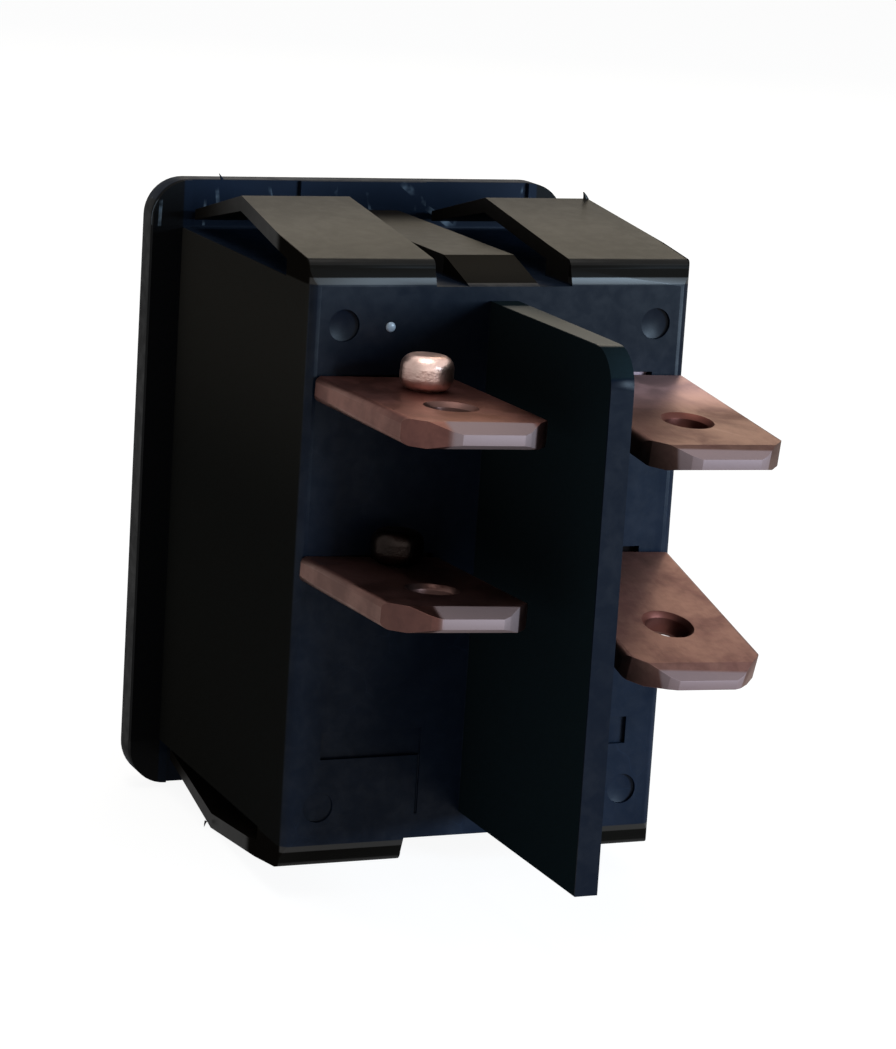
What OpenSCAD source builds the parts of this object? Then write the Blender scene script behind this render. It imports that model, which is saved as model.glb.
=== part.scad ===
// Panel rocker switch, double pole single throw, with four blade tabs.
// Frame: +Z runs along the long side of the panel cut-out, +Y points rearward to the
// tabs, and the rocker faces -Y. The origin is the centre of the cut-out, in the plane
// of the panel's front face, which is the plane of the bezel's back.
// Everything is in millimetres and is drawn in the off position.

/* [Bezel] */
// Width of the bezel
bezel_w = 15; // [14:0.1:18]
// Height of the bezel
bezel_h = 21; // [20.4:0.1:24]
// Thickness of the bezel
bezel_t = 1.6; // [1.2:0.1:2.2]
// Corner radius of the bezel
bezel_corner_r = 1.3; // [0.8:0.1:2.5]
// Radius of the bezel's front edge
bezel_edge_r = 0.6; // [0.3:0.1:0.8]
// Depth of the shallow relief over each latch arm
relief_depth = 0.15; // [0.05:0.05:0.4]

/* [Body] */
// Width of the body
body_w = 13; // [12.6:0.1:13.8]
// Height of the body between the latch arms
body_h = 17.8; // [17.4:0.1:18]
// Depth of the body behind the bezel
body_depth = 12.3; // [11.5:0.1:15]
// Thickness of the side walls
side_wall = 1.1; // [0.9:0.05:1.3]
// Thickness of the end walls
end_wall = 0.85; // [0.7:0.05:1.1]
// Thickness of the rear wall
rear_wall = 1.5; // [1.2:0.1:2]
// Radius of the body's rear side edges
rear_edge_r = 0.4; // [0.2:0.05:0.7]
// Corner radius of the rocker opening
opening_r = 0.5; // [0.2:0.1:1]
// Thickness of the wall between the poles
partition_t = 0.7; // [0.5:0.1:1.2]
// Distance from the bezel's back to the front edge of the wall between the poles
partition_y = 4.6; // [4:0.1:6]
// Width of the posts that stop the contact levers
stop_w = 1.6; // [1:0.1:2]
// Height of the posts that stop the contact levers
stop_h = 0.9; // [0.6:0.1:1.2]
// Depth of the shallow outline of the closed slots
blank_depth = 0.15; // [0.05:0.05:0.3]
// Radius of the ejector pin marks
ejector_r = 0.5; // [0.3:0.05:0.6]
// Depth of the ejector pin marks
ejector_depth = 0.12; // [0.05:0.01:0.2]
// Distance from the ejector pin marks to the edges of the rear face
ejector_inset = 1.2; // [1:0.1:1.5]
// Width of the mould insert's parting groove
groove_w = 0.1; // [0.06:0.02:0.2]
// Depth of the mould insert's parting groove
groove_depth = 0.08; // [0.04:0.02:0.15]

/* [Latch arms] */
// Width of a latch arm at its root
arm_w = 4.2; // [3.4:0.1:4.6]
// How much the free end of an arm is set in from the body's side
arm_taper = 0.35; // [0.1:0.05:0.6]
// Half height over the arms at their roots
arm_root_z = 9.72; // [9.5:0.02:9.9]
// Radius of an arm's rear upper edge
arm_edge_r = 0.3; // [0.15:0.05:0.4]
// How far an arm's rear end leans forward over its height
arm_end_lean = 0.2; // [0:0.05:0.4]
// Half height over the arms at their crests
arm_crest_z = 10.65; // [10.2:0.05:10.8]
// Distance from the bezel's back to the crest
arm_crest_y = 4.8; // [4:0.1:6]
// Thickness of an arm
arm_t = 0.5; // [0.4:0.05:0.6]
// Gap between the nose of an arm and the bezel
nose_gap = 0.3; // [0.15:0.05:0.5]
// Half height of the panel cut-out, where the nose of an arm starts
cutout_half_h = 9.56; // [9.4:0.02:9.7]
// Distance from the rear face to the closed end of the gap under an arm
arm_root_l = 2.1; // [1.6:0.1:3]
// Width of the locating tongue between the arms
tongue_w = 2.4; // [1.6:0.1:3]
// Length of the ramp at the tongue's rear end
tongue_ramp = 2.2; // [1.5:0.1:4]

/* [Barrier] */
// Thickness of the barrier between the tabs, at its root
barrier_t = 0.95; // [0.7:0.05:1.3]
// Thickness of the barrier at its free edge
barrier_tip_t = 0.75; // [0.5:0.05:1]
// How far the barrier stands out behind the body
barrier_l = 8.8; // [7:0.1:11]
// Half height of the barrier at its upper end
barrier_top = 8.45; // [8:0.05:8.8]
// Half height of the barrier at its lower end
barrier_bottom = 8.1; // [7.5:0.05:8.8]
// Radius of the barrier's upper corner
barrier_corner_r = 1.2; // [0.5:0.1:2]

/* [Tabs] */
// Width of a blade tab
tab_w = 4.75; // [4.6:0.05:4.9]
// Radius of a tab's long edges
tab_edge_r = 0.2; // [0.1:0.05:0.3]
// Thickness of the tab strip
tab_t = 0.8; // [0.5:0.05:0.8]
// Length of a blade tab behind the body
tab_l = 7.85; // [6.5:0.05:9]
// Corner chamfer of a tab's end
tab_chamfer = 1.1; // [0.6:0.1:1.6]
// Length of the bevel at a tab's end
tab_bevel_l = 0.7; // [0.3:0.1:1]
// Diameter of the wire hole in a tab
tab_hole_d = 1.4; // [1.1:0.05:1.6]
// Width of the bevel round a wire hole
hole_bevel = 0.15; // [0.05:0.05:0.25]
// Distance from the end of a tab to its wire hole
tab_hole_l = 3.1; // [2.6:0.1:3.6]
// Distance between the rows of tabs
row_pitch = 5.7; // [5.4:0.1:6]
// Distance from a tab's outer edge to the body's side
tab_inset = 0.22; // [0.15:0.01:0.3]
// Width of the neck that passes through the rear wall
neck_w = 3.3; // [3:0.1:3.4]
// Clearance round a neck in its slot
slot_gap = 0.05; // [0.03:0.01:0.1]
// How far a neck runs on inside its blade
neck_overrun = 0.3; // [0.2:0.05:0.4]
// How far the upper half of a neck stops short of the rear face
neck_setback = 0.3; // [0.1:0.05:0.5]
// Upper left tab: degrees down, degrees outer side down, degrees swung towards -X
bend_upper_left = [0, -2, 2]; // [-5:0.5:16]
// Upper right tab: degrees down, degrees outer side down, degrees swung towards -X
bend_upper_right = [6.5, 1.5, 1.5]; // [-5:0.5:16]
// Middle left tab: degrees down, degrees outer side down, degrees swung towards -X
bend_middle_left = [-1.5, -2.5, 1]; // [-5:0.5:16]
// Middle right tab: degrees down, degrees outer side down, degrees swung towards -X
bend_middle_right = [15, 2.5, 2]; // [-5:0.5:16]
// How far the upper left tab sits outwards of its middle place
shift_upper_left = -0.05; // [-0.1:0.01:0.2]
// How far the upper right tab sits outwards of its middle place
shift_upper_right = 0.15; // [-0.1:0.01:0.2]
// How far the middle left tab sits outwards of its middle place
shift_middle_left = 0.1; // [-0.1:0.01:0.2]
// How far the middle right tab sits outwards of its middle place
shift_middle_right = 0; // [-0.1:0.01:0.2]

/* [Tab rivets] */
// Diameter of a tab rivet's head
tab_rivet_d = 1.65; // [1.2:0.05:2]
// Height of a tab rivet's head
tab_rivet_h = 1.1; // [0.9:0.05:1.3]
// Radius of the round edges of a tab rivet's head
tab_rivet_edge_r = 0.4; // [0.2:0.05:0.4]
// Diameter of a tab rivet's shank
tab_rivet_shank_d = 0.8; // [0.6:0.05:1]
// Distance from the rear face to the upper tab's rivet
rivet_upper_y = 2.1; // [1.1:0.1:2.4]
// Distance from the rear face to the middle tab's rivet
rivet_middle_y = 1.1; // [1.05:0.05:2.4]
// Sideways offset of the tab rivets towards the barrier
rivet_offset = 0.35; // [0:0.05:0.6]
// Height of the thin clench on a tab's underside
rivet_clench_h = 0.15; // [0.1:0.05:0.3]

/* [Contacts] */
// Thickness of the see-saw contact lever
lever_t = 0.35; // [0.25:0.05:0.45]
// Width of the lever
lever_w = 3.2; // [2.8:0.1:3.3]
// Width of the lever at its waist
lever_waist_w = 2; // [1.6:0.1:2.2]
// Gap between the lever and the side wall
lever_side_gap = 0.2; // [0.15:0.05:0.4]
// Clearance between the lever's waist and the fulcrum horns
waist_gap = 0.1; // [0.05:0.01:0.2]
// Clearance above and below the horns in the waist
waist_end_gap = 0.25; // [0.15:0.05:0.4]
// How far a moving contact's shank stands out in front of the lever
clench_h = 0.2; // [0.1:0.05:0.3]
// Tilt of the lever each way from its middle position in degrees
lever_half_tilt = 4.5; // [3.5:0.5:5]
// Length of the lever's bent wing
wing_l = 2.7; // [2.5:0.1:3]
// Distance from the fulcrum to the contacts
contact_z = 4.9; // [4.6:0.1:5.1]
// Length of the lever above the fulcrum
lever_top = 6.1; // [6:0.1:6.3]
// Length of the lever below the fulcrum
lever_bottom = 5; // [4.6:0.1:5.4]
// Diameter of the contact heads
contact_d = 2.2; // [1.6:0.1:2.2]
// Height of the moving contact's head
moving_head_t = 0.4; // [0.3:0.05:0.5]
// Height of the fixed contact's head
fixed_head_t = 0.45; // [0.3:0.05:0.6]
// Diameter of the contact shanks
contact_shank_d = 1; // [0.8:0.1:1.2]
// Gap left between pieces that touch in use
touch_gap = 0.03; // [0.02:0.01:0.05]
// Length of the foot that carries the fixed contact
foot_l = 2.6; // [2.4:0.1:2.8]
// How far the fulcrum horns stand past the lever
horn_l = 0.7; // [0.6:0.1:0.9]

/* [Rocker] */
// Gap between the rocker and the opening
rocker_gap = 0.15; // [0.1:0.01:0.25]
// Travel of the rocker from off to on in degrees
rocker_travel = 24; // [20:1:24]
// Distance from the bezel's back to the pivot
pivot_y = 0.4; // [0.2:0.1:0.7]
// Diameter of the pivot bosses
pivot_d = 2.4; // [2:0.1:2.6]
// Length of a pivot boss
pivot_l = 0.65; // [0.5:0.05:0.7]
// Radial clearance of the pivot bosses in their sockets
pivot_gap = 0.05; // [0.03:0.01:0.08]
// Clearance past the end of a pivot boss
pivot_end_gap = 0.1; // [0.05:0.05:0.2]
// Depth of the groove that a pivot boss snaps in through
lead_in = 0.25; // [0.15:0.05:0.3]
// Height of the rocker's ends in front of the pivot
rocker_end_y = 3.7; // [3.4:0.1:4]
// Height of the rocker's middle in front of the pivot
rocker_mid_y = 2.7; // [2.5:0.1:3.2]
// Depth of the rocker's skirt behind the pivot
skirt_y = 1.9; // [1.6:0.1:2.4]
// Wall thickness of the rocker
rocker_wall = 1; // [0.8:0.05:1.2]
// Corner radius of the rocker, seen from the front
rocker_corner_r = 0.5; // [0.2:0.1:0.8]
// Outer diameter of the plunger posts
post_d = 2.7; // [2.5:0.1:2.8]
// Length of the plunger posts behind the pivot
post_l = 5.3; // [4.8:0.1:5.6]

/* [Plungers and springs] */
// Diameter of the plunger
plunger_d = 1.6; // [1.4:0.05:1.7]
// Radial clearance of the plunger in its post
plunger_gap = 0.05; // [0.03:0.01:0.08]
// Diameter of the plunger's round tip
plunger_tip_d = 1.2; // [1:0.05:1.3]
// Length of the plunger's neck behind its round tip
plunger_nose_l = 0.8; // [0.5:0.1:1.2]
// Radius of the nib that centres the spring
nib_r = 0.32; // [0.2:0.02:0.4]
// Length of the nib that centres the spring
nib_l = 0.5; // [0.3:0.1:0.8]
// Depth of the spring's seat below the inside of the rocker's face
seat_depth = 0.4; // [0.2:0.1:0.8]
// Clearance at each end of the spring
spring_gap = 0.02; // [0.01:0.01:0.05]
// Gap between the plunger's tip and the lever in the middle of the travel
tip_gap = 0.15; // [0.12:0.01:0.25]
// Distance from the pivot to the plunger's spring face
plunger_back_y = 3.1; // [2.8:0.1:3.3]
// Diameter of the spring wire
wire_d = 0.22; // [0.16:0.02:0.26]
// Outer diameter of the spring
spring_d = 1.5; // [1.4:0.02:1.56]
// Number of turns of the spring
spring_turns = 8; // [6:1:9]

/* [Hidden] */
$fn = 48;

eps = 0.01;
half_w = body_w / 2;
half_h = body_h / 2;
cavity_half_w = half_w - side_wall;
cavity_half_h = half_h - end_wall;
rear_inner_y = body_depth - rear_wall;
arm_inner_x = half_w - arm_w;
tab_x = half_w - tab_inset - tab_w / 2;
pole_x = cavity_half_w - lever_side_gap - lever_w / 2;
half_travel = rocker_travel / 2;
rocker_half_w = cavity_half_w - rocker_gap;
rocker_r = cavity_half_h - rocker_gap;
wing_angle = lever_half_tilt + half_travel / 2;
wing_drop = wing_l * (tan(wing_angle) * cos(lever_half_tilt) - sin(lever_half_tilt));
foot_y = rear_inner_y - tab_t;
fixed_face_y = foot_y - fixed_head_t;
lever_y = fixed_face_y - touch_gap - moving_head_t + wing_drop;
fulcrum_y = lever_y + touch_gap;
plunger_reach = lever_y - lever_t / cos(wing_angle) - tip_gap - pivot_y;
post_bore_r = plunger_d / 2 + plunger_gap;
spring_seat_y = rocker_wall - rocker_mid_y + seat_depth;
slot_w = neck_w + 2 * slot_gap;
slot_h = tab_t + 2 * slot_gap;
plastic = [0.07, 0.075, 0.08];
rocker_plastic = [0.05, 0.05, 0.055];
copper = [0.66, 0.42, 0.31];
silver = [0.8, 0.8, 0.8];
steel = [0.6, 0.61, 0.63];
brass = [0.79, 0.63, 0.32];

// A flat outline in Y and Z, extruded along X from x0 to x1
module extrude_x(x0, x1) {
    translate([x0, 0, 0]) rotate([90, 0, 90]) linear_extrude(x1 - x0) children();
}

// A flat outline in X and Z, extruded along Y from y0 to y1
module extrude_y(y0, y1) {
    translate([0, y1, 0]) rotate([90, 0, 0]) linear_extrude(y1 - y0) children();
}

// A round rod along Y
module rod_y(x, z, y0, y1, r) {
    translate([x, y1, z]) rotate([90, 0, 0]) cylinder(h = y1 - y0, r = r);
}

// A rectangle with rounded corners, centred
module rounded_rect(w, h, r) {
    square([w - 2 * r, h], center = true);
    square([w, h - 2 * r], center = true);
    for (sx = [-1, 1], sz = [-1, 1])
        translate([sx * (w / 2 - r), sz * (h / 2 - r)]) circle(r);
}

// Both ends of the body, the second turned half way round the Y axis
module both_ends() {
    children();
    rotate([0, 180, 0]) children();
}

// Both sides of the body, the second mirrored across the centre plane
module both_sides() {
    children();
    mirror([1, 0, 0]) children();
}

// ---- Housing -------------------------------------------------------------

// One rounded corner of the bezel's front edge
module bezel_corner() {
    rotate([90, 0, 0]) rotate_extrude() {
        square([bezel_corner_r - bezel_edge_r, bezel_edge_r]);
        intersection() {
            translate([bezel_corner_r - bezel_edge_r, 0]) circle(bezel_edge_r);
            square([bezel_corner_r, bezel_edge_r]);
        }
    }
}

// The bezel plate, with its front edge rounded all the way round
module bezel() {
    edge_y = bezel_edge_r - bezel_t;
    flat_w = bezel_w - 2 * bezel_corner_r;
    flat_h = bezel_h - 2 * bezel_corner_r;
    extrude_y(edge_y, 0) rounded_rect(bezel_w, bezel_h, bezel_corner_r);
    extrude_y(-bezel_t, edge_y) square([bezel_w - 2 * bezel_edge_r, flat_h], center = true);
    extrude_y(-bezel_t, edge_y) square([flat_w, bezel_h - 2 * bezel_edge_r], center = true);
    for (s = [-1, 1]) {
        translate([s * (bezel_w / 2 - bezel_edge_r), edge_y, -flat_h / 2])
            cylinder(h = flat_h, r = bezel_edge_r);
        translate([-flat_w / 2, edge_y, s * (bezel_h / 2 - bezel_edge_r)])
            rotate([0, 90, 0]) cylinder(h = flat_w, r = bezel_edge_r);
        for (t = [-1, 1])
            translate([s * flat_w / 2, edge_y, t * flat_h / 2]) bezel_corner();
    }
}

// Outline of the body seen from above, with rounded rear corners
module body_plan() {
    translate([-half_w, -eps]) square([body_w, body_depth - rear_edge_r + eps]);
    translate([rear_edge_r - half_w, -eps]) square([body_w - 2 * rear_edge_r, body_depth + eps]);
    for (s = [-1, 1])
        translate([s * (half_w - rear_edge_r), body_depth - rear_edge_r]) circle(rear_edge_r);
}

// Outline of one arm seen from above: it narrows from its root to its nose
module arm_plan() {
    polygon([
        [arm_inner_x, body_depth + eps],
        [half_w + eps, body_depth + eps],
        [half_w + eps, body_depth - arm_root_l],
        [half_w - arm_taper, arm_crest_y],
        [half_w - arm_taper, 0],
        [arm_inner_x + arm_taper / 3, 0],
        [arm_inner_x + arm_taper / 3, arm_crest_y],
        [arm_inner_x, body_depth - arm_root_l]
    ]);
}

// Side outline of one latch arm: root block, rising plate, crest and falling nose
module arm_side() {
    root_y = body_depth - arm_root_l;
    edge_y = body_depth - arm_end_lean - arm_edge_r;
    slope = (arm_crest_z - arm_root_z) / (edge_y - arm_crest_y);
    under_root_z = arm_root_z + slope * (edge_y - root_y) - arm_t;
    polygon([
        [root_y, cavity_half_h + eps],
        [body_depth, cavity_half_h + eps],
        [body_depth, half_h],
        [body_depth - arm_end_lean, arm_root_z - arm_edge_r],
        [edge_y, arm_root_z - arm_edge_r],
        [edge_y, arm_root_z],
        [arm_crest_y, arm_crest_z],
        [nose_gap, cutout_half_h],
        [nose_gap, cutout_half_h - arm_t * 0.7],
        [arm_crest_y, arm_crest_z - arm_t],
        [root_y, under_root_z]
    ]);
    translate([edge_y, arm_root_z - arm_edge_r]) intersection() {
        circle(arm_edge_r);
        square(arm_edge_r);
    }
}

// One latch arm on the upper end, on the +X side
module latch_arm() {
    intersection() {
        extrude_x(arm_inner_x - 1, half_w) arm_side();
        translate([0, 0, half_h - 2]) linear_extrude(bezel_h / 2) arm_plan();
        translate([0, 0, half_h - 2]) linear_extrude(bezel_h / 2) body_plan();
    }
}

// Locating tongue between the two arms of one end, with a ramp at its rear
module tongue() {
    extrude_x(-tongue_w / 2, tongue_w / 2) polygon([
        [-eps, cavity_half_h + eps],
        [-eps, cutout_half_h],
        [body_depth - tongue_ramp, cutout_half_h],
        [body_depth, half_h],
        [body_depth, cavity_half_h + eps]
    ]);
}

// The hollow that holds the rocker and the contacts
module cavity() {
    extrude_y(-bezel_t - 1, rear_inner_y)
        rounded_rect(2 * cavity_half_w, 2 * cavity_half_h, opening_r);
}

// Blind socket for one pivot boss, with the groove that the boss snaps in through
module pivot_socket() {
    translate([cavity_half_w - eps, pivot_y, 0]) rotate([0, 90, 0])
        cylinder(h = pivot_l - rocker_gap + pivot_end_gap, r = pivot_d / 2 + pivot_gap);
    translate([cavity_half_w - eps, -bezel_t - 1, -pivot_d / 2])
        cube([lead_in, bezel_t + 1 + pivot_y, pivot_d]);
}

// Slot in the rear wall for one terminal neck
module neck_slot(x, z) {
    extrude_y(rear_inner_y - 1, body_depth + 1)
        translate([x, z]) square([slot_w, slot_h], center = true);
}

// Shallow outline of the slot that this version leaves closed
module blank_slot(x) {
    extrude_y(body_depth - blank_depth, body_depth + 1)
        translate([x, -row_pitch]) square([slot_w, slot_h], center = true);
}

// Parting groove of a mould insert, on the rear face below the closed slot
module parting_groove() {
    translate([pole_x - slot_w / 2, body_depth - groove_depth, -barrier_bottom])
        cube([groove_w, 1, barrier_bottom - row_pitch]);
}

// Wall between the poles, inside the body
module partition() {
    translate([-partition_t / 2, partition_y, -cavity_half_h - eps])
        cube([partition_t, rear_inner_y - partition_y + eps, 2 * cavity_half_h + 2 * eps]);
}

// Post that stops the lower end of a contact lever in the off position
module lever_stop() {
    stop_y = lever_y - wing_drop + touch_gap;
    translate([pole_x - stop_w / 2, stop_y, -lever_bottom])
        cube([stop_w, rear_inner_y - stop_y + eps, stop_h]);
}

// Barrier between the two columns of tabs, thinner towards its free edge
module barrier() {
    end_y = body_depth + barrier_l;
    r = barrier_corner_r;
    intersection() {
        extrude_x(-barrier_t, barrier_t) union() {
            polygon([
                [body_depth - eps, -barrier_bottom],
                [end_y, -barrier_bottom],
                [end_y, barrier_top - r],
                [end_y - r, barrier_top],
                [body_depth - eps, barrier_top]
            ]);
            translate([end_y - r, barrier_top - r]) circle(r);
        }
        translate([0, 0, -half_h]) linear_extrude(body_h) polygon([
            [-barrier_t / 2, body_depth - eps],
            [barrier_t / 2, body_depth - eps],
            [barrier_tip_t / 2, end_y],
            [-barrier_tip_t / 2, end_y]
        ]);
    }
}

module housing() {
    color(plastic) difference() {
        union() {
            difference() {
                union() {
                    bezel();
                    intersection() {
                        translate([0, 0, -half_h]) linear_extrude(body_h) body_plan();
                        extrude_y(-eps, body_depth) square([body_w, body_h], center = true);
                    }
                    both_ends() both_sides() latch_arm();
                    both_ends() tongue();
                }
                cavity();
                both_ends() both_sides() extrude_y(-relief_depth, eps)
                    translate([arm_inner_x, half_h])
                        square([arm_w - arm_taper, bezel_h / 2 - half_h + 1]);
            }
            partition();
            both_sides() lever_stop();
            barrier();
        }
        both_sides() pivot_socket();
        both_sides() neck_slot(pole_x, 0);
        both_sides() neck_slot(pole_x, row_pitch);
        both_sides() blank_slot(pole_x);
        parting_groove();
        for (sx = [-1, 1], sz = [-1, 1])
            rod_y(sx * (half_w - ejector_inset), sz * (half_h - ejector_inset),
                body_depth - ejector_depth, body_depth + 1, ejector_r);
    }
}

// ---- Rocker --------------------------------------------------------------

// Places a piece that is drawn round the pivot, turned to the off position
module at_pivot() {
    translate([0, pivot_y, 0]) rotate([-half_travel, 0, 0]) children();
}

// Side outline of the rocker: round ends and a hollowed front, shrunk by an inset
module rocker_side(inset) {
    end_z = sqrt(pow(rocker_r, 2) - pow(rocker_end_y, 2));
    sag = rocker_end_y - rocker_mid_y;
    dish_r = (pow(end_z, 2) + pow(sag, 2)) / (2 * sag);
    difference() {
        intersection() {
            circle(rocker_r - inset, $fn = 128);
            translate([-rocker_end_y, -rocker_r])
                square([rocker_end_y + skirt_y, 2 * rocker_r]);
        }
        translate([-rocker_mid_y - dish_r, 0]) circle(dish_r + inset, $fn = 256);
    }
}

module rocker_shell() {
    difference() {
        intersection() {
            extrude_x(-rocker_half_w, rocker_half_w) rocker_side(0);
            extrude_y(-rocker_r, rocker_r)
                rounded_rect(2 * rocker_half_w, 2 * rocker_r + 1, rocker_corner_r);
        }
        extrude_x(rocker_wall - rocker_half_w, rocker_half_w - rocker_wall)
            union() {
                rocker_side(rocker_wall);
                translate([skirt_y - eps, -rocker_r + rocker_wall])
                    square([1, 2 * (rocker_r - rocker_wall)]);
            }
    }
}

module rocker() {
    color(rocker_plastic) at_pivot() difference() {
        union() {
            rocker_shell();
            both_sides() {
                rod_y(pole_x, 0, -rocker_mid_y + rocker_wall / 2, post_l, post_d / 2);
                translate([rocker_half_w - eps, 0, 0]) rotate([0, 90, 0])
                    cylinder(h = pivot_l + eps, r = pivot_d / 2);
            }
        }
        both_sides() rod_y(pole_x, 0, spring_seat_y, post_l + 1, post_bore_r);
    }
}

// ---- Plungers and springs --------------------------------------------------

// Plunger: a spring nib, a guided shank and a round tip, as one turned piece
module plunger_body() {
    tip_r = plunger_tip_d / 2;
    tip_y = plunger_reach - tip_r;
    rotate([-90, 0, 0]) rotate_extrude() {
        translate([0, plunger_back_y - nib_l]) square([nib_r, nib_l + eps]);
        polygon([
            [0, plunger_back_y],
            [plunger_d / 2, plunger_back_y],
            [plunger_d / 2, tip_y - plunger_nose_l],
            [tip_r, tip_y + plunger_d / 2 - tip_r - plunger_nose_l],
            [tip_r, tip_y],
            [0, tip_y]
        ]);
        intersection() {
            translate([0, tip_y]) circle(tip_r);
            translate([0, tip_y]) square(tip_r);
        }
    }
}

module plunger(side) {
    color(brass) at_pivot() translate([side * pole_x, 0, 0]) plunger_body();
}

// Compression spring between the rocker and a plunger
module plunger_spring(side) {
    sides = 6;
    steps = 14;
    wire_r = wire_d / 2;
    coil_r = spring_d / 2 - wire_r;
    y0 = spring_seat_y + wire_r + spring_gap;
    y1 = plunger_back_y - wire_r - spring_gap;
    rings = spring_turns * steps;
    points = [for (i = [0 : rings], k = [0 : sides - 1])
        let (a = 360 * i / steps,
            b = 360 * k / sides,
            r = coil_r + wire_r * cos(b))
        [r * cos(a), y0 + (y1 - y0) * i / rings + wire_r * sin(b), r * sin(a)]];
    skin = [for (i = [0 : rings - 1], k = [0 : sides - 1])
        let (n = (k + 1) % sides)
        [i * sides + k, (i + 1) * sides + k, (i + 1) * sides + n, i * sides + n]];
    caps = [[for (k = [0 : sides - 1]) k], [for (k = [sides - 1 : -1 : 0]) rings * sides + k]];
    color(steel) at_pivot() translate([side * pole_x, 0, 0])
        polyhedron(points = points, faces = concat(skin, caps), convexity = 8);
}

// ---- Contact set -----------------------------------------------------------

// Places a piece that is drawn round the fulcrum, turned to the off position
module at_fulcrum(side) {
    translate([side * pole_x, lever_y, 0]) rotate([lever_half_tilt, 0, 0]) children();
}

// Distance in front of the fulcrum of the lever's rear face at height z
function lever_drop(z) =
    z < wing_l ? z * tan(wing_angle)
    : wing_l * tan(wing_angle) + (z - wing_l) * tan(lever_half_tilt);

// Side outline of the lever: two bent wings with flatter ends
module lever_side() {
    front = lever_t / cos(wing_angle);
    polygon([
        [0, 0],
        [-lever_drop(wing_l), wing_l],
        [-lever_drop(lever_top), lever_top],
        [-lever_drop(lever_top) - lever_t, lever_top],
        [-lever_drop(wing_l) - lever_t, wing_l],
        [-front, 0],
        [-lever_drop(wing_l) - lever_t, -wing_l],
        [-lever_drop(lever_bottom) - lever_t, -lever_bottom],
        [-lever_drop(lever_bottom), -lever_bottom],
        [-lever_drop(wing_l), -wing_l]
    ]);
}

// Places a piece on the lever's rear face at the contact
module at_moving_contact() {
    translate([0, -lever_drop(contact_z), contact_z]) rotate([lever_half_tilt - 90, 0, 0])
        children();
}

module contact_lever(side) {
    waist_z = tab_t / 2 + waist_end_gap;
    color(copper) at_fulcrum(side) difference() {
        extrude_x(-lever_w / 2, lever_w / 2) lever_side();
        for (s = [-1, 1])
            translate([s > 0 ? lever_waist_w / 2 : -lever_w, -lever_w, -waist_z])
                cube([lever_w - lever_waist_w / 2, 2 * lever_w, 2 * waist_z]);
        at_moving_contact()
            cylinder(h = 4 * lever_t, r = contact_shank_d / 2 + eps, center = true);
    }
}

module moving_contact(side) {
    color(silver) at_fulcrum(side) at_moving_contact() {
        cylinder(h = moving_head_t, r = contact_d / 2);
        translate([0, 0, -lever_t - clench_h])
            cylinder(h = lever_t + clench_h + eps, r = contact_shank_d / 2);
    }
}

module fixed_contact(side) {
    color(silver) {
        rod_y(side * pole_x, contact_z, fixed_face_y, foot_y, contact_d / 2);
        rod_y(side * pole_x, contact_z, foot_y - eps, rear_inner_y, contact_shank_d / 2);
    }
}

// ---- Terminals -------------------------------------------------------------

// Blade outline seen from above: chamfered corners, each eased by a smaller one
module blade_plan() {
    w = tab_w / 2;
    ease = tab_chamfer * 0.25;
    polygon([
        [-w, 0],
        [-w, tab_l - tab_chamfer - ease],
        [ease * 0.6 - w, tab_l - tab_chamfer],
        [tab_chamfer - w, tab_l - ease * 0.6],
        [tab_chamfer + ease - w, tab_l],
        [w - tab_chamfer - ease, tab_l],
        [w - tab_chamfer, tab_l - ease * 0.6],
        [w - ease * 0.6, tab_l - tab_chamfer],
        [w, tab_l - tab_chamfer - ease],
        [w, 0]
    ]);
}

// Side outline of a blade, bevelled at its end
module blade_side() {
    bevel_z = tab_t * 0.3;
    polygon([
        [0, -tab_t / 2],
        [tab_l - tab_bevel_l, -tab_t / 2],
        [tab_l, bevel_z - tab_t / 2],
        [tab_l, tab_t / 2 - bevel_z],
        [tab_l - tab_bevel_l, tab_t / 2],
        [0, tab_t / 2]
    ]);
}

// Wire hole with a bevelled rim on both faces
module wire_hole() {
    r = tab_hole_d / 2;
    cylinder(h = 2 * tab_t, r = r, center = true);
    for (s = [-1, 1])
        translate([0, 0, s * (tab_t - hole_bevel) / 2])
            cylinder(h = hole_bevel + eps, r1 = r + (1 - s) * hole_bevel / 2,
                r2 = r + (1 + s) * hole_bevel / 2, center = true);
}

// Blade tab with rounded long edges and a wire hole, drawn from its root
module blade() {
    difference() {
        intersection() {
            translate([0, 0, -tab_t / 2]) linear_extrude(tab_t) blade_plan();
            extrude_x(-tab_w / 2, tab_w / 2) blade_side();
            extrude_y(0, tab_l) rounded_rect(tab_w, tab_t, tab_edge_r);
        }
        translate([0, tab_l - tab_hole_l, 0]) wire_hole();
    }
}

// How far a blade's root stands off the rear face, so that a bent blade clears it
function root_gap(bend) = abs(sin(bend[2])) * tab_w / 2 + max(0, -sin(bend[0])) * tab_t;

// Blade in its place on one side, shifted outwards and bent as given
module placed_blade(side, z, shift, bend) {
    translate([side * (tab_x + shift), body_depth + root_gap(bend), z - tab_t / 2])
        rotate([-bend[0], side * bend[1], bend[2]]) translate([0, 0, tab_t / 2]) children();
}

// Straight neck through the rear wall, of which only the lower half runs on into the blade
module neck(side, z, y0) {
    translate([side * pole_x - neck_w / 2, y0, z - tab_t / 2])
        cube([neck_w, body_depth - neck_setback - y0, tab_t]);
    translate([side * pole_x - neck_w / 2, y0, z - tab_t / 2])
        cube([neck_w, body_depth + neck_overrun - y0, tab_t / 2]);
}

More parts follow.
